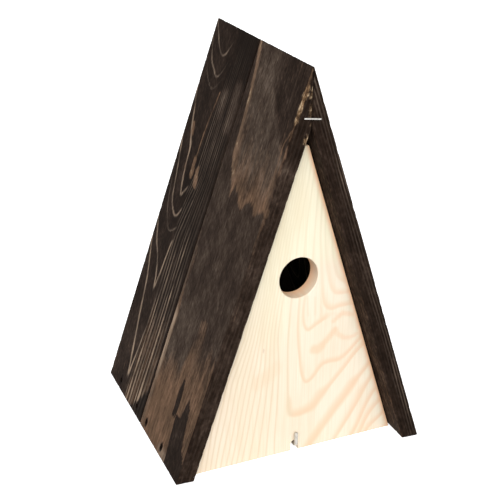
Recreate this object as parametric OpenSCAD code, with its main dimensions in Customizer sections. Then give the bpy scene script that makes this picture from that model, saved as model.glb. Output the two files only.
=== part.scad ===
// Small tent-shaped nest box that stands on the level-cut feet of its two slopes.
// Each slope is two stained boards laid side by side, mitred at the ridge and stapled across the mitre.
// A pale front panel with a round entrance drops in between the slopes and is held by a turn hook.
// Width runs along X, depth along Y with the front at the low end, and height along Z from the feet.

/* [Overall size] */
// Width across the feet of the two slopes
body_w = 203; // [180:1:240]
// Height above the feet at which the outer faces of the slopes would meet
body_h = 307; // [280:1:340]

/* [Slope boards] */
// Thickness of the stained boards
board_t = 13.4; // [10:0.2:17]
// Width of the front board of each slope
front_board_w = 95; // [80:1:115]
// Width of the rear board of each slope
rear_board_w = 91; // [80:1:115]
// Open seam between the two boards of a slope
seam_gap = 0.6; // [0.2:0.1:0.9]
// Open seam between the mitred tops at the ridge
mitre_gap = 0.6; // [0.2:0.1:0.9]

/* [Panels and floor] */
// Thickness of the front and back panels
panel_t = 12.8; // [10:0.2:16]
// Drop from the inside of the ridge to the blunt tops of the panels
panel_drop = 18; // [12:0.5:40]
// Front panel, distance of its middle behind the front ends of the boards
front_recess = 14.6; // [13:0.2:22]
// Front panel, angle that it sits turned in its frame, seen from above
front_turn = 4.1; // [0:0.1:5]
// Front panel, clearance along each slope
front_gap = 0.9; // [0.7:0.1:0.9]
// Back panel, distance of its outer face in from the rear ends of the boards
back_inset = 2; // [0:0.5:10]
// Thickness of the floor board
floor_t = 13.4; // [11:0.2:18]
// Clearance of the nailed pieces along their seats
fit_gap = 0.2; // [0.1:0.1:0.5]
// Clearance between the loose front panel and the floor that it stops against
stop_gap = 0.3; // [0.1:0.1:0.5]

/* [Holes] */
// Diameter of the entrance hole
hole_d = 32; // [25:0.5:40]
// Height of the entrance hole's centre above the feet
hole_z = 146; // [130:0.5:165]
// Diameter of the hanging hole in the back panel
hang_d = 8; // [4:0.5:10]
// Distance of the hanging hole's centre below the top of the back panel
hang_drop = 32; // [24:1:60]

/* [Turn hook] */
// Diameter of the hook's wire
hook_wire = 2.8; // [2.4:0.1:4]
// Height of the hook's stem above the feet
hook_z = 5.6; // [4.6:0.1:7]
// Length of the upright leg from the axis of the stem to its tip
hook_leg = 11.6; // [9:0.2:15]
// Bend radius at the middle of the wire
hook_bend = 3; // [2.4:0.1:4]
// Chamfer round the cut tip of the leg
tip_ease = 0.5; // [0.3:0.1:0.8]
// Clearance between the leg and the middle of the front panel
hook_gap = 1.6; // [1.4:0.1:2.4]
// Depth of the pilot hole that takes the stem in the floor board's edge
hook_bite = 20; // [12:1:30]
// Running clearance of the stem in its pilot hole, on the radius
hook_play = 0.05; // [0.02:0.01:0.1]
// Room over the stem in the arched notch of the front panel
notch_over = 1.7; // [1.5:0.1:4]
// Room on each side of the stem in the notch
notch_side = 2; // [1.5:0.1:4]

/* [Ridge staples] */
// Length of a staple across its legs
staple_w = 12.8; // [11:0.2:14]
// Thickness of the flat staple wire
staple_t = 0.7; // [0.5:0.1:1.2]
// Height of the flat staple wire
staple_h = 1; // [0.8:0.1:1.6]
// Depth that the legs are driven into the boards
staple_leg = 10; // [6:1:14]
// Drop of the staples below the ridge
staple_drop = 37; // [30:0.5:42]
// Angle that the staples are driven out of level
staple_tilt = 6; // [0:0.5:8]
// Clearance of the legs in the wood
staple_play = 0.1; // [0.05:0.05:0.2]

/* [Hidden] */
$fn = 64;
slope = atan(body_w / 2 / body_h);
body_d = front_board_w + seam_gap + rear_board_w;
front_y = -body_d / 2;
rear_y = body_d / 2;
foot_w = board_t / cos(slope);
inner_ridge = body_h - board_t / sin(slope);
panel_top = inner_ridge - panel_drop;
front_panel_y = front_y + front_recess;
back_panel_y = rear_y - back_inset - panel_t;
front_foot = half_inside(0, front_gap);
floor_front = front_panel_y + front_foot * sin(front_turn) + panel_t * cos(front_turn) + stop_gap;
floor_rear = back_panel_y - fit_gap;
hang_z = panel_top - hang_drop;
leg_y = front_panel_y - hook_gap - hook_wire / 2;
notch_w = hook_wire + 2 * notch_side;
notch_h = hook_z + hook_wire / 2 + notch_over;
staple_z = body_h - staple_drop;
cut = 1;
stain = "#35291f";
pine = "#f0dcbf";
zinc = "#c9ccce";

// Half the width between the slopes at a height, less a clearance along each slope
function half_inside(z, gap) = (inner_ridge - z) * tan(slope) - gap / cos(slope);

// Stands a flat outline up with its front face at y = 0 and its thickness towards the rear
module upright(thickness) {
    translate([0, thickness, 0])
        rotate([90, 0, 0])
            linear_extrude(thickness)
                children();
}

// Outline between the slopes from one height to another
module between_slopes(low, high, gap) {
    polygon([
        [-half_inside(low, gap), low],
        [half_inside(low, gap), low],
        [half_inside(high, gap), high],
        [-half_inside(high, gap), high]
    ]);
}

// Cross-section of the right slope: level foot, plumb mitre at the ridge
module slope_section() {
    mitre_x = mitre_gap / 2;
    polygon([
        [body_w / 2, 0],
        [mitre_x, body_h - mitre_x / tan(slope)],
        [mitre_x, inner_ridge - mitre_x / tan(slope)],
        [body_w / 2 - foot_w, 0]
    ]);
}

// U-shaped outline of a staple seen from above: crown outside the wood, legs driven in
module staple_outline(play) {
    half = staple_w / 2;
    difference() {
        translate([-half - play, -staple_t])
            square([staple_w + 2 * play, staple_t + staple_leg + play]);
        translate([-half + staple_t + play, 0])
            square([staple_w - 2 * (staple_t + play), staple_leg + play + cut]);
    }
}

module staple_at_front(play) {
    translate([0, front_y, staple_z])
        rotate([0, staple_tilt, 0])
            translate([0, 0, -staple_h / 2 - play])
                linear_extrude(staple_h + 2 * play)
                    staple_outline(play);
}

module staple_at_rear(play) {
    rotate([0, 0, 180])
        staple_at_front(play);
}

// One board of a slope, cut for the staple legs that enter its end
module slope_board(side, start, width) {
    difference() {
        translate([0, start, 0])
            mirror([side < 0 ? 1 : 0, 0, 0])
                upright(width)
                    slope_section();
        staple_at_front(staple_play);
        staple_at_rear(staple_play);
    }
}

module left_front_board() {
    color(stain)
        slope_board(-1, front_y, front_board_w);
}

module left_rear_board() {
    color(stain)
        slope_board(-1, rear_y - rear_board_w, rear_board_w);
}

module right_front_board() {
    color(stain)
        slope_board(1, front_y, front_board_w);
}

module right_rear_board() {
    color(stain)
        slope_board(1, rear_y - rear_board_w, rear_board_w);
}

// Floor board with bevelled sides, drilled in its front edge for the hook
module floor_board() {
    color(pine)
        difference() {
            translate([0, floor_front, 0])
                upright(floor_rear - floor_front)
                    between_slopes(0, floor_t, fit_gap);
            translate([0, floor_front - cut, hook_z])
                rotate([-90, 0, 0])
                    cylinder(r = hook_wire / 2 + hook_play, h = hook_bite + cut);
        }
}

module back_panel() {
    color(pine)
        translate([0, back_panel_y, 0])
            upright(panel_t)
                difference() {
                    between_slopes(0, panel_top, fit_gap);
                    translate([0, hang_z])
                        circle(d = hang_d);
                }
}

// Arched notch that lets the foot of the front panel drop over the stem of the hook
module notch_outline() {
    arch_z = notch_h - notch_w / 2;
    translate([0, arch_z])
        circle(d = notch_w);
    translate([-notch_w / 2, -cut])
        square([notch_w, arch_z + cut]);
}

module front_panel() {
    color(pine)
        translate([0, front_panel_y, 0])
            rotate([0, 0, front_turn])
                upright(panel_t)
                    difference() {
                        between_slopes(0, panel_top, front_gap);
                        translate([0, hole_z])
                            circle(d = hole_d);
                        notch_outline();
                    }
}

// Square-bend hook: stem screwed into the floor board, quarter bend, upright leg with a cut and eased tip
module latch_hook() {
    stem_end = floor_front + hook_bite;
    bend_y = leg_y + hook_bend;
    tip_z = hook_leg - tip_ease;
    color(zinc)
        translate([0, 0, hook_z]) {
            translate([0, bend_y, 0])
                rotate([-90, 0, 0])
                    cylinder(d = hook_wire, h = stem_end - bend_y);
            translate([0, bend_y, hook_bend])
                rotate([0, 90, 0])
                    rotate([0, 0, -90])
                        rotate_extrude(angle = 90)
                            translate([hook_bend, 0])
                                circle(d = hook_wire);
            translate([0, leg_y, hook_bend])
                cylinder(d = hook_wire, h = tip_z - hook_bend);
            translate([0, leg_y, tip_z])
                cylinder(d1 = hook_wire, d2 = hook_wire - 2 * tip_ease, h = tip_ease);
        }
}

module front_staple() {
    color(zinc)
        staple_at_front(0);
}

module rear_staple() {
    color(zinc)
        staple_at_rear(0);
}

left_front_board();
left_rear_board();
right_front_board();
right_rear_board();
floor_board();
back_panel();
front_panel();
latch_hook();
front_staple();
rear_staple();
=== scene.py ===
import math

import bmesh
import bpy
from mathutils import Matrix, Vector, noise


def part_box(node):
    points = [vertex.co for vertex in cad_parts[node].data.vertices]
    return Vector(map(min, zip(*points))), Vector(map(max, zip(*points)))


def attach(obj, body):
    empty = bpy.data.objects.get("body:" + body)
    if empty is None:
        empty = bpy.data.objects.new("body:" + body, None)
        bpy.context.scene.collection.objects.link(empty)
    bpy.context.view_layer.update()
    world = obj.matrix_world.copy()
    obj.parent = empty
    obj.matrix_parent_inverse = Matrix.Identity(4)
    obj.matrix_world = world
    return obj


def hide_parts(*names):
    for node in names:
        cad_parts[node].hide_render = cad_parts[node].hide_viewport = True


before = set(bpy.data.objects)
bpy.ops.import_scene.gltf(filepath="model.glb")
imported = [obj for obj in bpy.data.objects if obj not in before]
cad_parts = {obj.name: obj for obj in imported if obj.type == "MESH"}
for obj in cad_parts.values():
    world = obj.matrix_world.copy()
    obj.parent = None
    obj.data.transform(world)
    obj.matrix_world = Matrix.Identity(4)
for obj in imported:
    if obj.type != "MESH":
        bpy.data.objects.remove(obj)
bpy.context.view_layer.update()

# Slope boards
# Each slope is two pine planks side by side, with the grain running from the ridge to the foot. They
# are mitred at the ridge, cut level at the feet, wire brushed, stained dark brown and rubbed in places.
mm = 0.001
board_t = 13.4
board_eased = 0.7
board_cell = (1.3, 2.2, 1.5)
knock_depth = 0.28
splinter_depth = 0.9
sharp_angle = math.radians(15)
crease_angle = math.radians(40)
front_low, front_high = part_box("left_front_board")
foot_x = -front_low.x / mm
mitre_x = -front_high.x / mm
front_width = (front_high.y - front_low.y) / mm
slope = math.atan((foot_x - mitre_x) / (front_high.z / mm))
slope_length = (foot_x - mitre_x) / math.sin(slope)


def smooth_step(low, high, value):
    """0 below low, 1 above high, and an even S between them."""
    t = min(max((value - low) / (high - low), 0.0), 1.0)
    return t * t * (3.0 - 2.0 * t)


def on_line(points, at):
    """Value at a place along a broken line of (place, value) points, which are in rising order."""
    for (start, low), (end, high) in zip(points, points[1:]):
        if at <= end:
            break
    t = (at - start) / (end - start)
    return low + (high - low) * t


def on_curve(points, at):
    """Value at a place along a smooth curve through (place, value) points, straight past its ends."""
    last = len(points) - 2
    k = 0
    while k < last and at > points[k + 1][0]:
        k += 1
    (start, low), (end, high) = points[k], points[k + 1]
    span = end - start
    t = (at - start) / span
    if t < 0.0 or t > 1.0:
        return low + (high - low) * t
    before, after = points[max(k - 1, 0)], points[min(k + 2, last + 1)]
    lead_in = (high - before[1]) / (end - before[0]) * span
    lead_out = (after[1] - low) / (after[0] - start) * span
    bow = (lead_in + lead_out - 2.0 * (high - low)) * t + 3.0 * (high - low) - 2.0 * lead_in - lead_out
    return low + t * (lead_in + t * bow)


def fibre_noise(place, width, length, seed):
    """Smooth noise from -1 to 1, drawn out along the grain, with its size in millimetres."""
    u, v, n = place
    return noise.noise(Vector((u / width + seed, v / length, n / width - seed)))


def stroke(u, v, points, width):
    """1 on a drawn line of (u, v) points, fading to 0 at its width."""
    spot = Vector((u, v))
    reach = width
    for start, end in zip(points, points[1:]):
        a, b = Vector(start), Vector(end)
        t = min(max((spot - a).dot(b - a) / (b - a).length_squared, 0.0), 1.0)
        reach = min(reach, (spot - a.lerp(b, t)).length)
    return 1.0 - smooth_step(0.3 * width, width, reach)


def year_ring(lines, at, along):
    """Ring number at a spot between curves that are each the course of one year line."""
    return on_line([(on_curve(points, at), number) for number, points in lines], along)


def with_pitch(ring_at, u, v):
    """Ring number at a spot, and how many rings pass there in a millimetre."""
    step = 0.5
    ring = ring_at(u, v)
    return ring, math.hypot(ring_at(u + step, v) - ring, ring_at(u, v + step) - ring) / step


def sawn_block(cells, place, eased):
    """A sawn piece: a block divided into cells, put in its place, with its sharp edges eased."""
    bm = bmesh.new()
    bmesh.ops.create_cube(bm, size=1.0, matrix=Matrix.Translation((0.5, 0.5, 0.5)))
    for axis, count in enumerate(cells):
        runs = [edge for edge in bm.edges if abs((edge.verts[0].co - edge.verts[1].co)[axis]) > 0.5]
        bmesh.ops.subdivide_edges(bm, edges=runs, cuts=count - 1, use_grid_fill=True)
    for vert in bm.verts:
        vert.co = place(*vert.co)
    sharp = [edge for edge in bm.edges if edge.calc_face_angle() > sharp_angle]
    bmesh.ops.bevel(bm, geom=sharp, offset=eased, offset_type="OFFSET", affect="EDGES", segments=2,
                    profile=0.5, material=-1)
    bm.normal_update()
    return bm


def cut_from(bm, cutters):
    """Cuts the cutters' shapes out of a mesh and gives the result back as a bmesh."""
    base = bpy.data.objects.new("base", bpy.data.meshes.new("base"))
    bm.to_mesh(base.data)
    bm.free()
    bpy.context.collection.objects.link(base)
    tools = []
    for cutter in cutters:
        tool = bpy.data.objects.new("cutter", bpy.data.meshes.new("cutter"))
        cutter.to_mesh(tool.data)
        cutter.free()
        bpy.context.collection.objects.link(tool)
        tools.append(tool)
        step = base.modifiers.new("cut", "BOOLEAN")
        step.operation = "DIFFERENCE"
        step.solver = "EXACT"
        step.object = tool
    solved = base.evaluated_get(bpy.context.evaluated_depsgraph_get())
    cut = bmesh.new()
    cut.from_mesh(solved.to_mesh())
    solved.to_mesh_clear()
    for spare in [base] + tools:
        bpy.data.objects.remove(spare)
    cut.normal_update()
    return cut


def write_fields(bm, look, seed):
    """Keeps the wood's own coordinates and the fields of its look on each vertex, and wears it back."""
    wood = bm.verts.layers.float_vector.new("wood")
    names = [name for name in look(Vector((0.0, 0.0, 0.0))) if name != "worn"]
    layers = {name: bm.verts.layers.float.new(name) for name in names}
    apart = seed * Vector((137.0, 0.0, 61.0))
    for vert in bm.verts:
        place = vert.co.copy()
        fields = look(place)
        vert[wood] = place + apart
        for name in names:
            vert[layers[name]] = fields[name]
        vert.co = place - vert.normal * fields.get("worn", 0.0)


def finish_piece(bm, name, to_frame, material, body, nodes=()):
    """Puts a finished mesh in the frame as a piece that rides on a body and stands for CAD nodes."""
    bmesh.ops.transform(bm, matrix=to_frame, verts=bm.verts)
    bmesh.ops.recalc_face_normals(bm, faces=bm.faces)
    if bm.calc_volume(signed=True) < 0.0:
        bmesh.ops.reverse_faces(bm, faces=bm.faces)
    mesh = bpy.data.meshes.new(name)
    bm.to_mesh(mesh)
    bm.free()
    mesh.shade_smooth()
    mesh.set_sharp_from_angle(angle=crease_angle)
    mesh.materials.append(material)
    piece = bpy.data.objects.new(name, mesh)
    bpy.context.collection.objects.link(piece)
    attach(piece, body)
    if nodes:
        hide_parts(*nodes)


def linear(code):
    """Linear colour of an sRGB hex code."""
    parts = [int(code[i:i + 2], 16) / 255 for i in (1, 3, 5)]
    return tuple(c / 12.92 if c <= 0.04045 else ((c + 0.055) / 1.055) ** 2.4 for c in parts) + (1.0,)


def add(tree, kind, links=None, stops=None, out=0, **settings):
    """Adds a shader node with settings, inputs (values or sockets) and colour stops. Gives one output."""
    made = tree.nodes.new("ShaderNode" + kind)
    for name, value in settings.items():
        setattr(made, name, value)
    for name, value in (links or {}).items():
        if isinstance(value, bpy.types.NodeSocket):
            tree.links.new(value, made.inputs[name])
        else:
            made.inputs[name].default_value = value
    if stops:
        ramp = made.color_ramp.elements
        while len(ramp) < len(stops):
            ramp.new(0.5)
        for element, (at, code) in zip(ramp, stops):
            element.position = at
            element.color = linear(code)
    return made.outputs[out]


def blend(tree, share, under, over, how="MIX"):
    """Colour of one colour laid over another by a share."""
    colour_out = 2
    return add(tree, "Mix", {0: share, 6: under, 7: over}, out=colour_out, data_type="RGBA", blend_type=how)


def fade_out(tree, gap, start, end):
    """1 up to a start, and an even fall from there to 0 at an end."""
    fall = {0: gap, 1: start, 2: end, 3: 1.0, 4: 0.0}
    return add(tree, "MapRange", fall, interpolation_type="SMOOTHSTEP")


def wood_grain(tree, patterns):
    """Noise patterns of a wood by name, from width and length along the grain in mm, lean and detail."""
    wood = add(tree, "Attribute", out="Vector", attribute_name="wood")
    grain = {}
    for name, width, length, lean, detail in patterns:
        drawn = {"Vector": wood, "Scale": (width, length, width), "Rotation": (0.0, 0.0, lean)}
        place = add(tree, "Mapping", drawn, vector_type="TEXTURE")
        grain[name] = add(tree, "TexNoise", {"Vector": place, "Scale": 1.0, "Detail": detail})
    return grain


def mixed_grain(tree, base, grain, amounts):
    """A field with shares of noise patterns added to it, which leave its average alone."""
    total = add(tree, "Math", {0: base, 1: -0.5 * sum(amounts.values())}, operation="ADD")
    for name, amount in amounts.items():
        share = {0: grain[name], 1: amount, 2: total}
        total = add(tree, "Math", share, operation="MULTIPLY_ADD")
    return total


# Stained pine: a matt dark brown that soaks into the soft grain and looks mottled. The brush leaves the
# hard late wood as thin pale lines, and where the stain was rubbed thin a warm tan comes through. The
# fibres are drawn about 1 mm wide, coarser than real ones, so that they show in the picture.
stained_pine = bpy.data.materials.new("stained_pine")
stained_pine.use_nodes = True
tree = stained_pine.node_tree
shader = tree.nodes["Principled BSDF"]
names = ("ring", "pitch", "glint", "strip", "comb", "rub", "haze", "bare")
field = {name: add(tree, "Attribute", out="Fac", attribute_name=name) for name in names}
grain = wood_grain(tree, (
    ("fibre", 1.1, 16.0, 0.0, 3.0),
    ("tooth", 2.2, 30.0, 0.0, 2.0),
    ("fleck", 2.0, 4.0, 0.0, 4.0),
    ("blotch", 13.0, 24.0, 0.0, 4.0),
    ("saw", 3.0, 34.0, -0.9, 3.0)))
mottle = {"fibre": 0.55, "fleck": 0.7, "blotch": 0.75, "saw": 0.35}
# The tone field is mostly the stain's own tone, and also carries painted shade at the top of the front left
# plank and in the brad pits.
tone = mixed_grain(tree, field["haze"], grain, mottle)
soak = add(tree, "MapRange", {0: tone, 1: -0.4, 2: 0.6})
stain = add(tree, "ValToRGB", {"Fac": soak}, stops=(
    (0.0, "#18100b"), (0.25, "#261c16"), (0.5, "#3b2f28"), (0.75, "#55483e"), (1.0, "#74655a")))
thin = mixed_grain(tree, field["rub"], grain, {"tooth": 0.6, "fleck": 0.42})
thinned = add(tree, "MapRange", {0: thin, 1: 0.22, 2: 0.78})
tan_shade = mixed_grain(tree, grain["fibre"], grain, {"blotch": 1.1, "fleck": 0.5, "tooth": 0.3})
tan = add(tree, "ValToRGB", {"Fac": tan_shade}, stops=(
    (0.2, "#5b4839"), (0.5, "#765c48"), (0.8, "#96755e")))
rubbed = blend(tree, thinned, stain, tan)
broken = add(tree, "MapRange", {0: grain["fibre"], 1: 0.3, 2: 0.6, 3: 0.4, 4: 1.0})
flame_gap = add(tree, "Math", {0: field["ring"], 1: 0.5}, operation="PINGPONG")
flame_half = add(tree, "Math", {0: field["glint"], 1: 1.7, 2: 0.8}, operation="MULTIPLY_ADD")
flame_reach = add(tree, "Math", {0: field["pitch"], 1: flame_half}, operation="MULTIPLY")
flame = fade_out(tree, flame_gap, 0.0, flame_reach)
flame_lit = add(tree, "Math", {0: flame, 1: field["glint"]}, operation="MULTIPLY")
strip_place = mixed_grain(tree, field["strip"], grain, {"fleck": 0.2, "tooth": 0.4})
strip_gap = add(tree, "Math", {0: strip_place, 1: 0.5}, operation="PINGPONG")
strip = fade_out(tree, strip_gap, 0.1, 0.3)
strip_lit = add(tree, "Math", {0: strip, 1: field["comb"]}, operation="MULTIPLY")
late = add(tree, "Math", {0: flame_lit, 1: strip_lit}, operation="MAXIMUM")
late_lit = add(tree, "Math", {0: late, 1: broken}, operation="MULTIPLY", use_clamp=True)
ridges = add(tree, "ValToRGB", {"Fac": late_lit}, stops=((0.2, "#7d6e62"), (0.9, "#b89f88")))
brushed = blend(tree, late_lit, rubbed, ridges)
split = mixed_grain(tree, field["bare"], grain, {"fleck": 1.4, "tooth": 0.8})
opened = add(tree, "MapRange", {0: split, 1: 0.25, 2: 0.75})
open_share = add(tree, "MapRange", {0: field["bare"], 1: 0.03, 2: 0.25})
bared = add(tree, "Math", {0: opened, 1: open_share}, operation="MULTIPLY")
raw_shade = mixed_grain(tree, grain["fibre"], grain, {"fleck": 1.0})
raw = add(tree, "ValToRGB", {"Fac": raw_shade}, stops=(
    (0.3, "#5a4431"), (0.5, "#8f7153"), (0.72, "#cdb595")))
torn = blend(tree, bared, brushed, raw)
height = mixed_grain(tree, late_lit, grain, {"fibre": 1.0, "fleck": 0.6})
bump = add(tree, "Bump", {"Height": height, "Strength": 0.45, "Distance": 0.3 * mm})
tree.links.new(torn, shader.inputs["Base Color"])
tree.links.new(bump, shader.inputs["Normal"])
shader.inputs["Roughness"].default_value = 0.7
shader.inputs["Specular IOR Level"].default_value = 0.025


def straight_strip(place, spacing, seed):
    """Count of the uneven straight year lines along a plank, which run through its thickness."""
    u, v, n = place
    depth_lean = 1.3
    uneven = 0.45 * noise.noise(Vector((u / 5.0, seed, v / 150.0)))
    uneven = uneven + 0.3 * noise.noise(Vector((u / 11.0, seed, 4.0)))
    return (u + depth_lean * n + 1.2 * fibre_noise(place, 30, 90, seed)) / spacing + uneven


def line_share(strip, seed):
    """Strength of one straight line beside the next, since hard and soft years alternate."""
    return min(max(0.7 + 1.5 * noise.noise(Vector((round(strip) * 0.77, seed, 0.5))), 0.15), 1.4)


# The rear left plank is plain-sawn. Its flames are year lines that point down its middle, each given as
# the height of its course across the plank. Beside them, next to the seam, run straight lines.
# Here and on the other planks, places and spans are in millimetres and strengths run from 0 to about 1.
left_flames = (
    (0, ((38, 95), (44.5, 59.5), (49, 35), (52, 20.5), (56, 32), (66, 67), (73.5, 97), (89.5, 129.5))),
    (1, ((38, 152), (47, 138), (50, 115), (53.5, 99.5), (57, 108), (66, 122), (78.5, 132), (88.5, 147))),
    (2, ((38, 160), (51, 151), (58, 148), (63.5, 149.5), (76, 162), (83.5, 179.5), (91, 205))),
    (3, ((38, 180), (43.5, 174.5), (52, 163.5), (59.5, 162), (72, 172), (79.5, 192), (88.5, 217))),
    (4, ((38, 200), (53.5, 183), (58.5, 180.5), (64.5, 197), (67, 214.5), (72, 224.5), (78.5, 237),
         (89.5, 262))),
    (5, ((38, 288), (55, 272), (63.5, 270), (81, 280.5), (91, 296))),
    (6, ((36, 306), (43.5, 295.5), (52, 283), (59.5, 279.5), (68, 283.5), (78.5, 290.5), (91, 309.5))),
    (7, ((36, 322), (46, 309.5), (53, 300), (60.5, 297), (70, 302), (86, 317), (91, 322))))
left_flame_glint = (
    (-1, 0.0), (0, 1.2), (1, 1.0), (2, 0.45), (3, 0.9), (4, 1.1), (5, 0.3), (6, 0.75), (7, 0.65),
    (8, 0.0))
band_side = ((0, 44), (130, 44), (180, 46), (215, 51), (240, 47.5), (272, 41), (300, 32), (330, 24))
band_spacing = ((0, 5.6), (150, 5.4), (205, 3.6), (330, 3.4))
band_comb = (
    (-10, 1.5), (40, 1.1), (60, 0.9), (110, 0.75), (140, 0.65), (165, 0.4), (200, 0.35), (225, 0.42),
    (262, 0.45), (280, 0.12), (340, 0.05))


def left_rear_look(place):
    """Flames down the middle, straight lines by the seam, and a dark knot between them."""
    u, v, n = place
    bent_u = u + 0.8 * fibre_noise(place, 14, 30, 3.1)
    ring, pitch = with_pitch(lambda a, b: year_ring(left_flames, a, b), bent_u, v + 2.0 * n)
    band = 1.0 - smooth_step(-1.5, 2.0, u - on_line(band_side, v) + fibre_noise(place, 15, 50, 9.0))
    patchy = 0.9 + 0.6 * fibre_noise(place, 9, 22, 8.0)
    limb_end = 1.0 - smooth_step(240, 270, v) * (1.0 - smooth_step(43, 53, u))
    glint = patchy * (1.0 - band) * max(on_line(left_flame_glint, ring), 0.0) * limb_end
    strip = straight_strip(place, on_line(band_spacing, v), 2.7)
    by_seam = 0.35 + 0.65 * smooth_step(4, 22, u)
    comb = patchy * band * on_line(band_comb, v) * by_seam * line_share(strip, 3.3)
    low_light = 1.0 - smooth_step(30, 150, v)
    grey = max(stroke(u, v, ((11, 280), (9, 252)), 11.0),
               0.7 * stroke(u, v, ((31, 270), (29, 256)), 8.0))
    foot_dark = 1.0 - smooth_step(-3, 4, v - 29 + 1.05 * u)
    top_dark = smooth_step(262, 290, v) * (1.0 - smooth_step(30, 50, u))
    under_knot = stroke(u, v, ((47, 192), (36, 172)), 18.0)
    seam_reach = 3.6 - 1.6 * smooth_step(35, 75, v)
    seam_dark = (1.0 - smooth_step(0.4 * seam_reach, seam_reach, u)) * (1.0 - smooth_step(90, 160, v))
    ragged_u = u + 1.8 * fibre_noise(place, 3, 6, 5.5)
    ragged_v = v + 3.0 * fibre_noise(place, 4, 8, 6.5)
    knot_dark = stroke(ragged_u, ragged_v, ((44, 215), (45, 204)), 4.5)
    knot_rim = max(stroke(ragged_u, ragged_v, ((49.5, 211), (49, 201)), 5.2),
                   stroke(ragged_u, ragged_v, ((39.5, 206), (36.5, 196)), 5.4),
                   0.8 * stroke(ragged_u, ragged_v, ((74.5, 234), (73, 227)), 5.0))
    border = stroke(bent_u, v, ((42, 270), (46.5, 250), (48.5, 234), (49, 214)), 1.7)
    thick_limb = stroke(bent_u, v, (
        (62, 190), (65.5, 202), (67, 214.5), (72, 224.5), (78.5, 237), (84, 250)), 1.8)
    haze = 0.08 * low_light + 0.06 * band * (1.0 - smooth_step(130, 170, v)) + 0.42 * grey - 0.13
    haze = haze - 0.12 * band * (1.0 - smooth_step(235, 270, v))
    haze = haze - 0.3 * max(foot_dark, 0.8 * top_dark, knot_dark, 0.8 * under_knot, seam_dark)
    low_rub = (0.15 + 0.25 * band) * low_light * (1.0 - foot_dark)
    rub = max(low_rub, knot_rim, 0.6 * border, 0.75 * thick_limb)
    return {
        "ring": ring, "pitch": pitch, "glint": glint, "strip": strip,
        "comb": comb * (1.0 - 0.8 * max(foot_dark, knot_dark)),
        "rub": rub * (1.0 - 0.8 * seam_dark),
        "haze": haze,
        "bare": max(0.2 * knot_rim, 0.1 * border)}


def ridge_distance(place):
    """Distance from the mitre, square to its plane, and height above the feet, in millimetres."""
    _, v, n = place
    x = foot_x - v * math.sin(slope) - n * math.cos(slope)
    return x - mitre_x, v * math.cos(slope) - n * math.sin(slope)


# The front left plank is rubbed: a tan streak leaves the seam near the ridge and ends in a ragged
# patch, and the foot is tan up to about a quarter of the height, with dark spears of stain left in it.
streak_middle = (
    (200, 62), (223, 69.5), (229, 74.5), (238, 79), (267, 81), (296, 85), (318, 92.5), (330, 97))
patch_foot = (
    (0, 214), (5, 215.5), (11.5, 211.5), (16.5, 207.5), (22, 214), (27, 215.5), (34, 211.5), (38, 206),
    (44, 206), (50, 213), (60, 217), (62, 213), (65.5, 202), (67.5, 218), (74.5, 228.5), (79, 238),
    (82, 262), (100, 330))
tan_reach = ((0, 125), (44, 125), (54, 92), (95, 92))
seam_glint = (
    (-5, 0.3), (40, 0.4), (58, 1.0), (98, 1.0), (108, 0.55), (130, 0.35), (160, 0.3), (175, 0.0),
    (340, 0.0))
seam_rub = (
    (-5, 0.5), (50, 0.75), (64, 1.0), (92, 1.0), (106, 0.5), (125, 0.35), (165, 0.35), (190, 0.0),
    (340, 0.0))
spear_u = 40.0
spear_foot = 37.0
spear_tip = 69.0
spear_half = ((36, 3.0), (45, 4.4), (60, 3.4), (69, 0.0))
corner_tip = 61.0
corner_front = ((-5, -9), (18, -2), (22.5, 9), (38, 13), (50, 15.5), (61, 22))
corner_rear = ((-5, 30), (17, 33.5), (39, 36.5), (41, 27.5), (47, 26.5), (61, 22))
far_outside = -9.0


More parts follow.
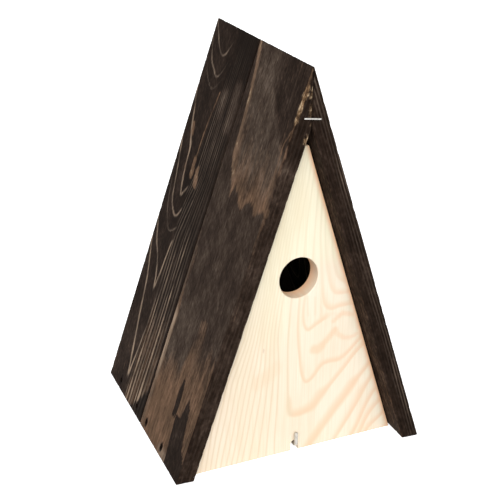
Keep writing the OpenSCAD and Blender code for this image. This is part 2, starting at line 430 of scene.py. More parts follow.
def left_front_look(place):
    """Rubbed streak, patch and foot, spears of stain, and splintered wood at the ridge's front end."""
    u, v, n = place
    across = u + 1.0 * fibre_noise(place, 3.0, 20, 1.0)
    along = v + 3.0 * fibre_noise(place, 2.6, 50, 2.0)
    outside = smooth_step(0.2, 1.4, u)
    front = 1.0 - outside
    off_streak = on_line(streak_middle, v) - across
    streak = (1.0 - smooth_step(1.0, 3.6, abs(off_streak))) * smooth_step(214, 226, v)
    before_streak = smooth_step(-2, 1, off_streak)
    warm_side = (1.0 - smooth_step(0.0, 22.0, off_streak)) * before_streak * smooth_step(212, 226, v)
    above = along - on_line(patch_foot, across)
    patch_fade = 0.12 + 0.7 * math.exp(-max(above, 0.0) / 22.0)
    patch = smooth_step(-3.0, 3.0, above) * patch_fade * before_streak
    seam_edge = (1.0 - smooth_step(3.5, 9.5, front_width - across)) * on_line(seam_rub, v)
    tan_high = on_line(tan_reach, u)
    tan_top = 1.0 - smooth_step(tan_high - 60, tan_high, v + 12.0 * fibre_noise(place, 12, 40, 6.0))
    greyed = smooth_step(40, 52, u) * smooth_step(45, 70, v) * (1.0 - smooth_step(95, 130, v))
    tan = (0.65 + 0.2 * smooth_step(20, 60, u)) * tan_top
    tan_column = 0.4 * stroke(across, v, ((37, 112), (38, 70)), 11.0)
    foot_light = stroke(across, along, ((45, 4), (35, 4)), 8.0)
    in_spear = far_outside
    if spear_foot < along < spear_tip:
        in_spear = on_line(spear_half, along) - abs(across - spear_u)
    in_corner = far_outside
    if along < corner_tip:
        in_corner = min(across - on_line(corner_front, along), on_line(corner_rear, along) - across)
    dark = smooth_step(-0.7, 0.7, max(in_spear, in_corner)) * outside
    rub = max(streak, patch, seam_edge, tan, tan_column) * (1.0 - dark) * outside
    line_u = u + 0.5 * fibre_noise(place, 3.0, 12, 4.0)
    face_line = stroke(line_u, v, (
        (1, 276), (6.5, 265), (5.5, 254), (4.5, 243), (2, 229), (0.5, 215)), 1.6)
    face_line = face_line * (1.0 - smooth_step(1.5, 3.5, n))
    line_n = n + 0.3 * fibre_noise(place, 3, 12, 4.0)
    edge_line = stroke(line_n, v, ((6, 266), (6, 195), (2.5, 130)), 1.2)
    from_arris = max(u, 0.9 * n) + 1.2 * fibre_noise(place, 2.0, 5.0, 6.0)
    torn_run = smooth_step(274, 286, v) * (1.0 - smooth_step(307, 313, v))
    arris_torn = (1.0 - smooth_step(1.2, 3.2, from_arris)) * torn_run
    arris_rub = (1.0 - smooth_step(0.8, 1.8, from_arris)) * smooth_step(150, 200, v)
    patchy = 0.6 + 0.9 * fibre_noise(place, 5, 18, 4.5)
    gap, z = ridge_distance(place)
    ragged = 2.0 * fibre_noise((3.0 * z, 3.0 * gap, u), 5.0, 5.0, 5.0)
    mitre_run = smooth_step(262, 270, z) * (1.0 - smooth_step(282, 288, z))
    mitre_torn = (1.0 - smooth_step(1.5, 4.5, gap + ragged)) * mitre_run
    top_torn = smooth_step(279, 286, z + ragged) * (1.0 - smooth_step(293, 299, z + ragged))
    chip = 1.0 - smooth_step(1.5, 3.5, math.hypot(gap - 4.2, z - 255) + ragged)
    shaded_top = smooth_step(-4, 6, v - 259 - 0.87 * (u - 6.2)) * (1.0 - smooth_step(42, 54, u))
    upper = smooth_step(205, 235, v) * (1.0 - 0.5 * smooth_step(295, 320, v))
    upper = upper * before_streak * (1.0 - shaded_top)
    by_seam = (1.0 - before_streak) * smooth_step(240, 280, v)
    haze = 0.12 * outside + 0.19 * upper - 0.28 * dark - 0.1 * by_seam
    haze = haze - 0.08 * front - 0.17 * shaded_top + 0.14 * greyed * outside
    seam_reach = 7.5 - 4.0 * smooth_step(98, 112, v)
    off_seam = smooth_step(0.6 * seam_reach, seam_reach, front_width - across)
    seam_line = (1.0 - off_seam) * on_line(seam_glint, v)
    lights = max(seam_line, 0.3 * streak, 0.7 * foot_light * (1.0 - dark)) * outside
    end_torn = front * max(0.3 * mitre_torn, 0.4 * top_torn, 0.6 * chip)
    face_bare = max(0.28 * streak, 0.13 * warm_side * patch) * outside
    return {
        "ring": 0.0, "pitch": 1.0, "glint": lights, "strip": straight_strip(place, 4.2, 7.7),
        "comb": 0.03 * outside + 0.05 * front,
        "rub": max(rub, 0.6 * face_line, 0.26 * front * edge_line * patchy, 0.35 * arris_rub),
        "haze": haze,
        "bare": max(0.55 * arris_torn, end_torn, 0.2 * lights, face_bare)}


# The right planks face away from the camera, apart from the front edge, which shows about five fine
# lines. The rear one has flames like those on the left.
right_flames = (
    (0, ((0, 130), (20, 40), (38, -10), (60, 60), (91, 180))),
    (1, ((0, 185), (20, 95), (38, 70), (60, 120), (91, 215))),
    (2, ((0, 215), (20, 140), (38, 118), (60, 150), (91, 240))),
    (3, ((0, 265), (20, 222), (38, 205), (60, 230), (91, 280))),
    (4, ((0, 290), (20, 262), (38, 250), (60, 268), (91, 305))))


def right_front_look(place):
    """Fine lines on the front edge, and a plain brushed face with a few rubbed places."""
    u, _, n = place
    front = smooth_step(-1.4, -0.2, u - front_width)
    rub = 0.45 * smooth_step(0.0, 0.7, fibre_noise(place, 30, 80, 12.0)) * (1.0 - front)
    lines = 0.4 * (1.0 - smooth_step(3, 10, n)) * (0.6 + 0.6 * fibre_noise(place, 6, 40, 15.0))
    inner = smooth_step(12.2, 13.0, n)
    return {
        "ring": 0.0, "pitch": 1.0, "glint": 0.0, "strip": straight_strip(place, 3.0, 17.7),
        "comb": (0.2 * (1.0 - front) + front * max(lines, 0.03)) * (1.0 - inner),
        "rub": max(rub, 0.2 * inner),
        "haze": 0.02 - 0.25 * front * (1.0 - inner) - 0.08 * inner,
        "bare": 0.0}


def right_rear_look(place):
    """Plain flames, with the stain a little rubbed towards the foot."""
    u, v, n = place
    bent_u = u + 4.0 * fibre_noise(place, 40, 70, 23.1)
    ring, pitch = with_pitch(lambda a, b: year_ring(right_flames, a, b), bent_u, v + 2.0 * n)
    low_light = 1.0 - smooth_step(30, 180, v)
    glint = 0.6 + 0.4 * fibre_noise(place, 12, 50, 28.0)
    return {
        "ring": ring, "pitch": pitch, "glint": glint, "strip": straight_strip(place, 5.0, 27.7),
        "comb": 0.15, "rub": 0.35 * low_light, "haze": 0.08 * low_light, "bare": 0.0}


def arris_wear(place, width, seed):
    """Depth in millimetres that the sharp edges of a plank are knocked back here and there."""
    u, v, n = place
    side = min(u, width - u)
    end = min(v - n * math.tan(slope), slope_length - n / math.tan(slope) - v)
    first, second = sorted((side, end, min(n, board_t - n)))[:2]
    knocks = smooth_step(0.05, 0.6, fibre_noise(place, 3.0, 5.0, seed))
    return knock_depth * knocks * (1.0 - smooth_step(0.6, 2.4, math.hypot(first, second)))


# Brads: thin steel nails through the feet of the slopes into the floor's edges, sunk a little below the
# face, where each leaves a small dark pit. They lie in pairs, given from the front edge of each board.
brad_r = 1.0
pit_r = 2.0
pit_length = 1.1
pit_depth = 3.0
pit_steps = 20
brad_sunk = 2.0
brad_up = 7.5
brads_front = (43.7, 83.2)
brads_rear = (15.0, 62.0)


def slope_board(name, side, look, seed, brads):
    """One plank of a slope, in its own millimetres across, along and into the wood, then put in place."""
    low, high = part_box(name)
    width = (high.y - low.y) / mm
    spots = [(at if side < 0 else width - at, brad_up) for at in brads]

    def ends(n):
        return n * math.tan(slope), slope_length - n / math.tan(slope)

    def place(across, along, depth):
        n = depth * board_t
        foot_v, ridge_v = ends(n)
        return Vector((across * width, foot_v + along * (ridge_v - foot_v), n))

    def look_with_wear(spot):
        fields = look(spot)
        off_brad = min(math.hypot(spot.x - u, 0.7 * (spot.y - v)) for u, v in spots)
        # Inside each brad pit and a little round it the wood is drawn darker: painted shade in the pit, and
        # stain gathered round the nail.
        pit_shade_and_stain = 1.0 - smooth_step(pit_r, 1.7 * pit_r, off_brad)
        fields["haze"] -= 0.5 * pit_shade_and_stain
        for kind in ("rub", "bare", "comb", "glint"):
            fields[kind] *= 1.0 - pit_shade_and_stain
        fields["worn"] = arris_wear(spot, width, seed + 70.0)
        return fields

    cells = [round(size / cell) for size, cell in zip((width, slope_length, board_t), board_cell)]
    bm = sawn_block(cells, place, board_eased)
    for vert in bm.verts:
        vert.co.z = min(max(vert.co.z, 0.0), board_t)
        foot_v, ridge_v = ends(vert.co.z)
        near_ridge = 1.0 - smooth_step(0.0, 5.0, ridge_v - vert.co.y)
        near_face = 1.0 - smooth_step(1.0, 4.0, vert.co.z)
        splinter = smooth_step(0.15, 0.7, noise.noise(Vector((vert.co.x / 2.6, seed, 0.0))))
        splinter = splinter_depth * splinter * near_ridge * near_face
        vert.co.y = min(max(vert.co.y, foot_v), ridge_v) - splinter
    bm.normal_update()
    pits = []
    heads = bmesh.new()
    for u, v in spots:
        pit = bmesh.new()
        pit_place = Matrix.Translation((u, v, 0.0)) @ Matrix.Diagonal((1.0, pit_length, 1.0, 1.0))
        bmesh.ops.create_cone(pit, cap_ends=True, segments=pit_steps, radius1=pit_r, radius2=pit_r,
                              depth=2.0 * pit_depth, matrix=pit_place)
        pits.append(pit)
        head_t = pit_depth - brad_sunk
        head_place = Matrix.Translation((u, v, brad_sunk + 0.5 * head_t))
        bmesh.ops.create_cone(heads, cap_ends=True, segments=pit_steps, radius1=brad_r, radius2=brad_r,
                              depth=head_t, matrix=head_place)
    bm = cut_from(bm, pits)
    write_fields(bm, look_with_wear, seed)
    across_axis = Vector((0.0, -side, 0.0))
    along_axis = Vector((-side * math.sin(slope), 0.0, math.cos(slope)))
    into_axis = Vector((-side * math.cos(slope), 0.0, -math.sin(slope)))
    start = Vector((side * foot_x * mm, low.y if side < 0 else high.y, 0.0))
    turn = Matrix((across_axis, along_axis, into_axis)).transposed().to_4x4()
    to_frame = Matrix.Translation(start) @ turn @ Matrix.Scale(mm, 4)
    finish_piece(bm, name + "_plank", to_frame, stained_pine, "box", (name,))
    finish_piece(heads, name + "_brads", to_frame, dull_steel, "box")


# Dull steel: bare nail heads that have gone grey brown with a little rust, nearly matt.
dull_steel = bpy.data.materials.new("dull_steel")
dull_steel.use_nodes = True
tree = dull_steel.node_tree
shader = tree.nodes["Principled BSDF"]
spot = add(tree, "TexCoord", out="Object")
rust_size = (0.6 * mm, 0.6 * mm, 0.6 * mm)
rust_map = add(tree, "Mapping", {"Vector": spot, "Scale": rust_size}, vector_type="TEXTURE")
rust = add(tree, "TexNoise", {"Vector": rust_map, "Scale": 1.0, "Detail": 3.0})
head = add(tree, "ValToRGB", {"Fac": rust}, stops=((0.35, "#1c1714"), (0.65, "#40322a")))
tree.links.new(head, shader.inputs["Base Color"])
shader.inputs["Metallic"].default_value = 0.4
shader.inputs["Roughness"].default_value = 0.6

slope_board("left_front_board", -1, left_front_look, 1, brads_front)
slope_board("left_rear_board", -1, left_rear_look, 2, brads_rear)
slope_board("right_front_board", 1, right_front_look, 3, brads_front)
slope_board("right_rear_board", 1, right_rear_look, 4, brads_rear)

# Floor board and back panel
# Both are planed pine left untreated, nailed between the slopes. The floor's edges are bevelled to
# the slopes, and the back has a plain hole near its top to hang the box by.
pine_eased = 0.4
pine_cell = 3.0
hanging_d = 8.0
hanging_drop = 32.0
hanging_flare = 0.4
hole_steps = 72
cutter_past = 2.0
# Depth of the painted shade on the inside faces, in millimetres.
inside_shade_depth = 0.5

# Bare pine: planed, pale cream and nearly matt, with fine fibres and pinkish late wood lines, each sharp
# on one side and fading on the other. The fibres are drawn coarser than real ones, so that they show.
bare_pine = bpy.data.materials.new("bare_pine")
bare_pine.use_nodes = True
tree = bare_pine.node_tree
shader = tree.nodes["Principled BSDF"]
names = ("ring", "pitch", "late", "breadth", "tint", "blush", "knot", "soaked")
field = {name: add(tree, "Attribute", out="Fac", attribute_name=name) for name in names}
grain = wood_grain(tree, (
    ("fibre", 1.2, 45.0, 0.0, 3.0),
    ("streak", 8.0, 120.0, 0.0, 3.0),
    ("cloud", 30.0, 60.0, 0.0, 2.0)))
past_line = add(tree, "Math", {0: field["ring"]}, operation="FRACT")
to_line = add(tree, "Math", {0: 1.0, 1: past_line}, operation="SUBTRACT")
soft_reach = add(tree, "Math", {0: field["pitch"], 1: field["breadth"]}, operation="MULTIPLY")
sharp_reach = add(tree, "Math", {0: soft_reach, 1: 0.45}, operation="MULTIPLY")
sharp_side = fade_out(tree, past_line, 0.0, sharp_reach)
soft_side = fade_out(tree, to_line, 0.0, soft_reach)
year = add(tree, "Math", {0: sharp_side, 1: soft_side}, operation="MAXIMUM")
late_share = mixed_grain(tree, field["late"], grain, {"fibre": 0.2, "streak": 0.3})
late_line = add(tree, "Math", {0: year, 1: late_share}, operation="MULTIPLY", use_clamp=True)
cream_shade = mixed_grain(tree, grain["fibre"], grain, {"streak": 0.6, "cloud": 0.8})
fibres = add(tree, "ValToRGB", {"Fac": cream_shade}, stops=((0.25, "#f8f5f0"), (0.65, "#ffffff")))
tint_place = mixed_grain(tree, field["tint"], grain, {"cloud": 0.6, "streak": 0.3})
cream = add(tree, "ValToRGB", {"Fac": tint_place}, stops=(
    (0.0, "#fdf4da"), (0.5, "#fdedd7"), (1.0, "#fdf0db")))
early = blend(tree, 1.0, cream, fibres, "MULTIPLY")
late_tint = add(tree, "ValToRGB", {"Fac": field["tint"]}, stops=(
    (0.0, "#e2d6b2"), (0.5, "#e6cfac"), (1.0, "#f4c9a0")))
# The blush holds the wood's own warm smudges and end grain, and also painted shade at the panel's right
# edge and deep in the entrance.
blush_and_shade_mottle = mixed_grain(tree, field["blush"], grain, {"streak": 0.3})
blush_and_shade_share = add(tree, "Math", {0: blush_and_shade_mottle, 1: field["blush"]}, operation="MULTIPLY", use_clamp=True)
warm = blend(tree, blush_and_shade_share, early, linear("#f8c496"))
grained = blend(tree, late_line, warm, late_tint)
knotted = blend(tree, field["knot"], grained, linear("#b98a62"))
height = mixed_grain(tree, late_line, grain, {"fibre": 1.0})
bump = add(tree, "Bump", {"Height": height, "Strength": 0.2, "Distance": 0.15 * mm})
# Painted shade: faces inside the box take a dark brown that stands for the shade in there.
inside = blend(tree, field["soaked"], knotted, linear("#382b21"))
tree.links.new(inside, shader.inputs["Base Color"])
tree.links.new(bump, shader.inputs["Normal"])
shader.inputs["Roughness"].default_value = 0.6
shader.inputs["Specular IOR Level"].default_value = 0.2


def plain_pine_look(place, seed):
    """Straight lines that wander, as on a panel sawn beside the heart."""
    u, _, n = place
    spacing = 6.5
    ring = (u + 6.0 * fibre_noise(place, 70, 160, seed) + 0.6 * n) / spacing
    late = 0.45 + 0.3 * fibre_noise(place, 40, 120, seed + 2)
    return {
        "ring": ring, "pitch": 1.0 / spacing, "late": late, "breadth": 1.8,
        "tint": 0.4, "blush": 0.0, "knot": 0.0, "soaked": 0.0}


def between_slopes(low, high):
    """Maps a unit block to the wedge that a CAD box holds between the slopes, in millimetres."""
    foot_half = high.x / mm
    height = (high.z - low.z) / mm
    top_half = foot_half - height * math.tan(slope)
    thick = (high.y - low.y) / mm

    def place(across, up, depth):
        half = foot_half + (top_half - foot_half) * up
        return Vector(((2.0 * across - 1.0) * half, up * height, depth * thick))

    cells = [max(2, round(size / pine_cell)) for size in (2.0 * foot_half, height, thick)]
    return place, cells


def upright_matrix(front_y, turn=0.0):
    """Stands a panel up: across is X, up is Z and depth is Y, turned about its middle seen from above."""
    stand = Matrix(((1, 0, 0, 0), (0, 0, 1, 0), (0, 1, 0, 0), (0, 0, 0, 1)))
    turned = Matrix.Translation((0.0, front_y, 0.0)) @ Matrix.Rotation(turn, 4, "Z")
    return turned @ stand @ Matrix.Scale(mm, 4)


def round_cutter(radius, middle_v, thick, flare):
    """A round cutter that passes through a panel and opens a little at both faces."""
    bm = bmesh.new()
    bmesh.ops.create_cone(bm, cap_ends=True, segments=hole_steps, radius1=radius, radius2=radius,
                          depth=thick - 2.0 * flare)
    caps = [face for face in bm.faces if len(face.verts) > 4]
    for cap in caps:
        outward = cap.normal.copy()
        for grow, reach in ((flare, flare), (0.0, cutter_past)):
            made = bmesh.ops.extrude_face_region(bm, geom=[cap])
            bmesh.ops.delete(bm, geom=[cap], context="FACES_ONLY")
            cap = next(part for part in made["geom"] if isinstance(part, bmesh.types.BMFace))
            bmesh.ops.translate(bm, vec=outward * reach, verts=cap.verts)
            bmesh.ops.scale(bm, vec=Vector((1 + grow / radius, 1 + grow / radius, 1)), verts=cap.verts)
    bmesh.ops.recalc_face_normals(bm, faces=bm.faces)
    bmesh.ops.translate(bm, vec=Vector((0.0, middle_v, 0.5 * thick)), verts=bm.verts)
    return bm


# The floor's top and the back's inner face are drawn dark brown as painted shade, standing for the shade
# inside the box, so that the entrance shows black.
def floor_look(place):
    u, v, n = place
    return plain_pine_look((u, n, v), 31.0) | {"soaked": smooth_step(floor_t - inside_shade_depth, floor_t, v)}


def back_look(place):
    return plain_pine_look(place, 41.0) | {"soaked": 1.0 - smooth_step(0.0, inside_shade_depth, place.z)}


floor_low, floor_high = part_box("floor_board")
floor_t = floor_high.z / mm
floor_place, floor_cells = between_slopes(floor_low, floor_high)
floor_bm = sawn_block(floor_cells, floor_place, pine_eased)
write_fields(floor_bm, floor_look, 5)
finish_piece(floor_bm, "floor_plank", upright_matrix(floor_low.y), bare_pine, "box",
             ("floor_board",))

back_low, back_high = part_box("back_panel")
back_place, back_cells = between_slopes(back_low, back_high)
back_thick = (back_high.y - back_low.y) / mm
back_bm = sawn_block(back_cells, back_place, pine_eased)
hanging_v = back_high.z / mm - hanging_drop
back_bm = cut_from(back_bm, [round_cutter(0.5 * hanging_d, hanging_v, back_thick, hanging_flare)])
write_fields(back_bm, back_look, 6)
finish_piece(back_bm, "back_plank", upright_matrix(back_low.y), bare_pine, "box",
             ("back_panel",))

# Front panel
# A loose pine panel dropped in between the slopes, a little turned in its frame. It has a drilled
# entrance, an arched notch in its foot that clears the hook, and swirls round a knot at its right edge.
panel_t = 12.8
panel_turn = math.radians(4.1)
panel_cell = 1.6
panel_layers = 6
entrance_d = 32.0
entrance_v = 146.0
entrance_flare = 0.5
notch_w = 6.8
notch_h = 8.7
notch_flare = 0.3
panel_low, panel_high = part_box("front_panel")
panel_half = (panel_high.x / mm) / math.cos(panel_turn)
panel_height = panel_high.z / mm
panel_y = 0.5 * (panel_low.y + panel_high.y) - 0.5 * panel_t * mm * math.cos(panel_turn)


def front_panel_place(across, up, depth):
    """Maps a unit block to the panel's wedge, in millimetres."""
    half = panel_half - up * panel_height * math.tan(slope)
    return Vector(((2.0 * across - 1.0) * half, up * panel_height, depth * panel_t))


# Courses of the panel's year lines. On the left they run up it, given as the place across at each height.
# On the right they are flames, given as the height at each place across, and swing round the edge knot.
rising_lines = (
    (15, ((0, -76), (70, -62), (107, -46.5), (165, -32.5), (250, -14.5))),
    (13.8, ((0, -71), (70, -57), (107, -43), (165, -30), (250, -12))),
    (10.1, ((0, -55), (70, -41), (107, -33), (165, -22), (250, -5))),
    (7.7, ((0, -44), (70, -31), (107, -27), (165, -17), (250, 0))),
    (4, ((0, -18), (70, -15.5), (107, -16), (165, -8), (250, 6))),
    (3, ((0, -5), (70, -7.5), (107, -7.5), (165, -3), (250, 9))),
    (2, ((0, 8), (70, 3), (107, 0), (165, 3.5), (250, 11.5))),
    (1, ((0, 22), (70, 16), (107, 3.5), (165, 11), (250, 14))),
    (0, ((0, 36), (70, 30), (107, 14), (165, 16.5), (250, 16.5))),
    (-1, ((0, 50), (70, 44), (107, 24), (165, 21), (250, 19))),
    (-2, ((0, 64), (70, 58), (107, 34), (165, 27), (250, 22))))
flame_lines = (
    (8, ((5, -90), (41, -50), (54, -25), (66, 2), (80, 14))),
    (7, ((5, -75), (41, -25), (54, -10), (66, 15), (80, 30))),
    (6, ((5, -60), (23, -40), (41, -15), (54, 4.5), (66, 29), (80, 50))),
    (5, ((5, -35), (23, -18), (41, 7.5), (54, 27.5), (66, 48), (80, 70))),
    (4, ((5, -10), (23, 12.5), (36, 28.5), (41, 34), (54, 49.5), (66, 64), (80, 85))),
    (3, ((5, 31), (15, 34.5), (23, 43.5), (36, 57.5), (41, 62.5), (54, 76), (66, 88), (80, 103))),
    (2, ((3, 62), (8, 57.5), (14, 60), (23, 69.5), (36, 71), (41, 73), (47, 77), (54, 84), (66, 97))),
    (1, ((3, 103), (8, 101), (16, 106), (23, 109.5), (30, 109), (36, 106), (44, 103), (54, 102),
         (66, 104))),
    (0, ((5, 205), (14, 180), (17, 165), (19, 144), (20, 131), (22.5, 121), (28, 116), (36, 116.5),
         (66, 118))),
    (-1, ((5, 240), (17, 205), (20, 172), (22.5, 154), (25, 143), (27.5, 134), (31, 128.5), (38, 127.5),
          (66, 128))),
    (-2, ((5, 280), (21, 205), (25, 172), (28, 156), (31, 145), (35, 139), (42, 136), (66, 136))))
flames_from = 5.0
flame_blend = 0.15


def front_panel_ring(u, v):
    """Ring number from both sets of lines: the higher of the two, with a soft join."""
    rising = year_ring(rising_lines, v, u)
    flames = year_ring(flame_lines, max(u, flames_from), v)
    gap = abs(rising - flames) / flame_blend
    return max(rising, flames) + flame_blend * math.log1p(math.exp(-gap))


def front_panel_look(place):
    """Year lines, broader and pinker low on the right, warm smudges round the knot at the edge, and warm
    painted shade along the right edge and deep in the entrance.
    """
    u, v, n = place
    bent_u = u + 0.7 * fibre_noise(place, 16, 40, 51.0)
    bent_v = v + 1.0 * fibre_noise(place, 14, 20, 52.0)
    ring, pitch = with_pitch(front_panel_ring, bent_u, bent_v)
    base = stroke(bent_u, bent_v, ((-2, 37), (5, 33.5), (13, 35), (19, 41)), 15.0)
    limb = stroke(bent_u, bent_v, ((10, -4), (30, 20), (39, 32), (48, 43)), 15.0)
    drop = 0.65 * max(stroke(bent_u, bent_v, ((14.5, 84.5), (18, 83.5), (21, 86)), 6.5),
                      stroke(bent_u, bent_v, ((17.5, 83), (25, 90), (32, 97)), 4.8))
    drop_tail = 0.55 * stroke(bent_u, bent_v, (
        (32, 97), (35, 92.5), (40, 89), (46, 88), (52, 90), (57, 93)), 3.4)
    smudge = 0.4 * stroke(bent_u, 0.6 * bent_v, ((-33, 39), (-26, 41.5), (-17, 45)), 7.0)
    edge_spot = 0.6 * stroke(bent_u, bent_v, ((31, 105), (38, 110), (47, 108)), 3.6)
    eyelashes = 0.4 * max(stroke(u, v, ((8, 130), (8.5, 114)), 1.6),
                          stroke(u, v, ((14, 128), (14.5, 113)), 1.6))
    right = smooth_step(-12, 20, u) * (1.0 - smooth_step(140, 180, v))
    no_line = stroke(u, v, ((30, 106), (52, 100)), 9.0)
    fainter = 1.0 - 0.45 * smooth_step(100, 150, v)
    late = (0.55 - 0.02 * right + 0.04 * max(base, limb)) * (1.0 - no_line) * fainter
    wall = 1.0 - smooth_step(0.6, 1.2, math.hypot(u, v - entrance_v) - 0.5 * entrance_d)
    # The entrance wall is the wood's warm end grain, deepening to tan further in as painted shade.
    wall_grain_and_shade = wall * (0.5 + 0.45 * smooth_step(1.0, 9.0, n)) * smooth_step(0.1, 0.6, n)
    # Painted shade: a warm pink darkening along the right edge, beside the right slope.
    right_edge_shade = 0.95 * (1.0 - smooth_step(0.0, 6.0, panel_half - v * math.tan(slope) - u))
    pink = smooth_step(-14, 4, u) * (1.0 - smooth_step(130, 165, v))
    tint = max(0.5 * (1.0 - smooth_step(70, 170, v)), pink)
    dot = stroke(u, v, ((-28, 91.8), (-28, 92.2)), 1.0)
    return {
        "ring": ring, "pitch": pitch, "late": late,
        "breadth": 1.8 + 3.2 * right + 5.0 * max(base, limb),
        "tint": tint,
        "blush": max(drop, drop_tail, smudge, edge_spot, eyelashes, wall_grain_and_shade, right_edge_shade),
        "knot": 0.6 * dot,
        "soaked": 0.0}


panel_cells = [round(2.0 * panel_half / panel_cell), round(panel_height / panel_cell), panel_layers]
panel_bm = sawn_block(panel_cells, front_panel_place, pine_eased)
entrance = round_cutter(0.5 * entrance_d, entrance_v, panel_t, entrance_flare)
arch_v = notch_h - 0.5 * notch_w
arch = round_cutter(0.5 * notch_w, arch_v, panel_t, notch_flare)
foot_slot = bmesh.new()
slot_size = Matrix.Diagonal((notch_w, arch_v + cutter_past, panel_t + 2.0 * cutter_past, 1.0))
slot_place = Matrix.Translation((0.0, 0.5 * (arch_v - cutter_past), 0.5 * panel_t))
bmesh.ops.create_cube(foot_slot, size=1.0, matrix=slot_place @ slot_size)
panel_bm = cut_from(panel_bm, [entrance, arch, foot_slot])
write_fields(panel_bm, front_panel_look, 7)
finish_piece(panel_bm, "front_plank", upright_matrix(panel_y, panel_turn), bare_pine, "box",
             ("front_panel",))

# Turn hook
# A square-bend hook of zinc-plated wire, screwed into the front edge of the floor. Its leg stands up
# in front of the panel's foot and holds it, and turned down it lets the panel lift out.
hook_wire = 2.8
hook_bend = 3.0
hook_ease = 0.5
hook_steps = 32
bend_steps = 12
ease_steps = 3

# Zinc plate: a bright, warm grey metal with a soft sheen and faint handling marks, which are drawn
# larger than real ones so that they show.
zinc_plate = bpy.data.materials.new("zinc_plate")
zinc_plate.use_nodes = True
tree = zinc_plate.node_tree
shader = tree.nodes["Principled BSDF"]
spot = add(tree, "TexCoord", out="Object")
mark_size = (0.8 * mm, 0.8 * mm, 2.5 * mm)
mark_map = add(tree, "Mapping", {"Vector": spot, "Scale": mark_size}, vector_type="TEXTURE")
marks = add(tree, "TexNoise", {"Vector": mark_map, "Scale": 1.0, "Detail": 4.0})
zinc = add(tree, "ValToRGB", {"Fac": marks}, stops=((0.3, "#a5a29d"), (0.7, "#cbc8c2")))
dull = add(tree, "MapRange", {0: marks, 1: 0.3, 2: 0.7, 3: 0.55, 4: 0.4})
dents = add(tree, "Bump", {"Height": marks, "Strength": 0.15, "Distance": 0.1 * mm})
tree.links.new(zinc, shader.inputs["Base Color"])
tree.links.new(dull, shader.inputs["Roughness"])
tree.links.new(dents, shader.inputs["Normal"])
shader.inputs["Metallic"].default_value = 1.0

hook_low, hook_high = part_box("latch_hook")
hook_r = 0.5 * hook_wire
stem_z = hook_low.z / mm + hook_r
leg_y = hook_low.y / mm + hook_r
stem_end = hook_high.y / mm
tip_z = hook_high.z / mm


def parts_of(geom, kind):
    """The parts of one kind in what an operator made."""
    return [part for part in geom if isinstance(part, kind)]


def draw_on(bm, rim, move, shrink=1.0):
    """Draws the open rim of a wire on by a step, and shrinks it about the leg's axis."""
    made = bmesh.ops.extrude_edge_only(bm, edges=rim)["geom"]
    verts = parts_of(made, bmesh.types.BMVert)
    bmesh.ops.translate(bm, vec=Vector(move), verts=verts)
    leg_axis = Matrix.Translation((0.0, -leg_y, 0.0))
    bmesh.ops.scale(bm, vec=Vector((shrink, shrink, 1.0)), verts=verts, space=leg_axis)
    return parts_of(made, bmesh.types.BMEdge)


hook_bm = bmesh.new()
stem_place = Matrix.Translation((0.0, stem_end, stem_z)) @ Matrix.Rotation(math.pi / 2, 4, "X")
bmesh.ops.create_circle(hook_bm, cap_ends=True, segments=hook_steps, radius=hook_r, matrix=stem_place)
rim = draw_on(hook_bm, hook_bm.edges[:], (0.0, leg_y + hook_bend - stem_end, 0.0))
bend_middle = Vector((0.0, leg_y + hook_bend, stem_z + hook_bend))
turned = bmesh.ops.spin(hook_bm, geom=rim, cent=bend_middle, axis=Vector((1.0, 0.0, 0.0)),
                        angle=-math.pi / 2, steps=bend_steps, use_duplicate=False)["geom_last"]
leg_rise = tip_z - hook_ease - stem_z - hook_bend
rim = draw_on(hook_bm, parts_of(turned, bmesh.types.BMEdge), (0.0, 0.0, leg_rise))
radius, rise = hook_r, 0.0
for step in range(1, ease_steps + 1):
    turn = 0.5 * math.pi * step / ease_steps
    next_radius = hook_r - hook_ease * (1.0 - math.cos(turn))
    next_rise = hook_ease * math.sin(turn)
    rim = draw_on(hook_bm, rim, (0.0, 0.0, next_rise - rise), next_radius / radius)
    radius, rise = next_radius, next_rise
bmesh.ops.contextual_create(hook_bm, geom=rim)
finish_piece(hook_bm, "turn_hook", Matrix.Scale(mm, 4), zinc_plate, "hook",
             ("latch_hook",))

# Ridge staples
# Flat bright wire staples driven across the mitre at the front and rear ends of the ridge, a little
# out of level. Only the crown shows, pressed onto the end grain.
for name in ("front_staple", "rear_staple"):
    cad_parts[name].data.materials.clear()
    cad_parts[name].data.materials.append(zinc_plate)

# Studio
# A plain pale floor in white surroundings, with the camera at the photograph's angle. Soft lamps light
# the box from above the camera, from both sides and from behind.
image_px = 500
camera_az = math.radians(-21.73)
camera_el = math.radians(22.1)
camera_roll = math.radians(0.64)
camera_dist = 900.0 * mm
camera_side = -7.0 * mm
camera_height = 138.0 * mm
focal_px = 1133.0
sensor_mm = 36.0

level = math.cos(camera_el)
back = Vector((math.sin(camera_az) * level, -math.cos(camera_az) * level, math.sin(camera_el)))
right = Vector((math.cos(camera_az), math.sin(camera_az), 0.0))
up = back.cross(right)
rolled_right = math.cos(camera_roll) * right + math.sin(camera_roll) * up
rolled_up = back.cross(rolled_right)
eye = Vector((0.0, 0.0, camera_height)) + camera_side * right + camera_dist * back
camera = bpy.data.objects.new("camera", bpy.data.cameras.new("camera"))
camera_turn = Matrix((rolled_right, rolled_up, back)).transposed().to_4x4()
camera.matrix_world = Matrix.Translation(eye) @ camera_turn
camera.data.sensor_width = sensor_mm
camera.data.lens = focal_px / image_px * sensor_mm
camera.data.clip_start = 0.05
bpy.context.collection.objects.link(camera)
bpy.context.scene.camera = camera

floor_size = 30.0
floor_drop = 0.2 * mm
stage_bm = bmesh.new()
bmesh.ops.create_grid(stage_bm, x_segments=1, y_segments=1, size=0.5 * floor_size,
                      matrix=Matrix.Translation((0.0, 0.0, -floor_drop)))
stage_mesh = bpy.data.meshes.new("studio_floor")
stage_bm.to_mesh(stage_mesh)
stage_bm.free()
studio_floor = bpy.data.objects.new("studio_floor", stage_mesh)
bpy.context.collection.objects.link(studio_floor)


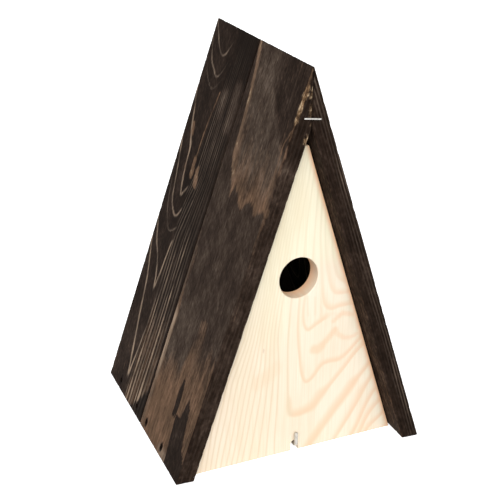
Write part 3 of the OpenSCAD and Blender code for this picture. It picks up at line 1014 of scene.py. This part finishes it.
def seen_share(tree):
    """1 for rays that see a surface straight, in a mirror or through glass, and 0 for rays that light."""
    seen = add(tree, "LightPath", out="Is Camera Ray")
    for kind in ("Is Glossy Ray", "Is Transmission Ray"):
        ray = add(tree, "LightPath", out=kind)
        seen = add(tree, "Math", {0: seen, 1: ray}, operation="MAXIMUM")
    return seen


# Studio white: a matt floor that keeps the soft shadow and is lifted to white where it is seen.
floor_lift = 0.8
studio_white = bpy.data.materials.new("studio_white")
studio_white.use_nodes = True
tree = studio_white.node_tree
shader = tree.nodes["Principled BSDF"]
shader.inputs["Base Color"].default_value = linear("#e8e8e8")
shader.inputs["Roughness"].default_value = 0.9
lift = add(tree, "Math", {0: seen_share(tree), 1: floor_lift}, operation="MULTIPLY")
tree.links.new(lift, shader.inputs["Emission Strength"])
shader.inputs["Emission Color"].default_value = linear("#ffffff")
stage_mesh.materials.append(studio_white)

sky_light = 0.17
world = bpy.data.worlds.new("studio_sky")
bpy.context.scene.world = world
world.use_nodes = True
tree = world.node_tree
sky = add(tree, "MapRange", {0: seen_share(tree), 1: 0.0, 2: 1.0, 3: sky_light, 4: 1.0})
background = tree.nodes["Background"]
background.inputs["Color"].default_value = linear("#ffffff")
tree.links.new(sky, background.inputs["Strength"])

lamps = (
    ("key_lamp", (-0.56, -1.92, 1.94), 1.0, 36.5),
    ("front_lamp", (-0.85, -2.1, 0.95), 0.8, 14.0),
    ("left_lamp", (-1.9, -1.2, 1.0), 1.2, 7.0),
    ("right_lamp", (0.7, -2.2, 0.8), 0.8, 5.0),
    ("rear_lamp", (0.9, 2.2, 1.3), 1.2, 26.0),
)
aim = Vector((0.0, 0.0, 0.14))
for name, at, size, power in lamps:
    lamp = bpy.data.objects.new(name, bpy.data.lights.new(name, "AREA"))
    lamp.data.size = size
    lamp.data.energy = power
    facing = (Vector(at) - aim).to_track_quat("Z", "Y").to_matrix().to_4x4()
    lamp.matrix_world = Matrix.Translation(at) @ facing
    bpy.context.collection.objects.link(lamp)

bpy.context.scene.view_settings.view_transform = "Standard"
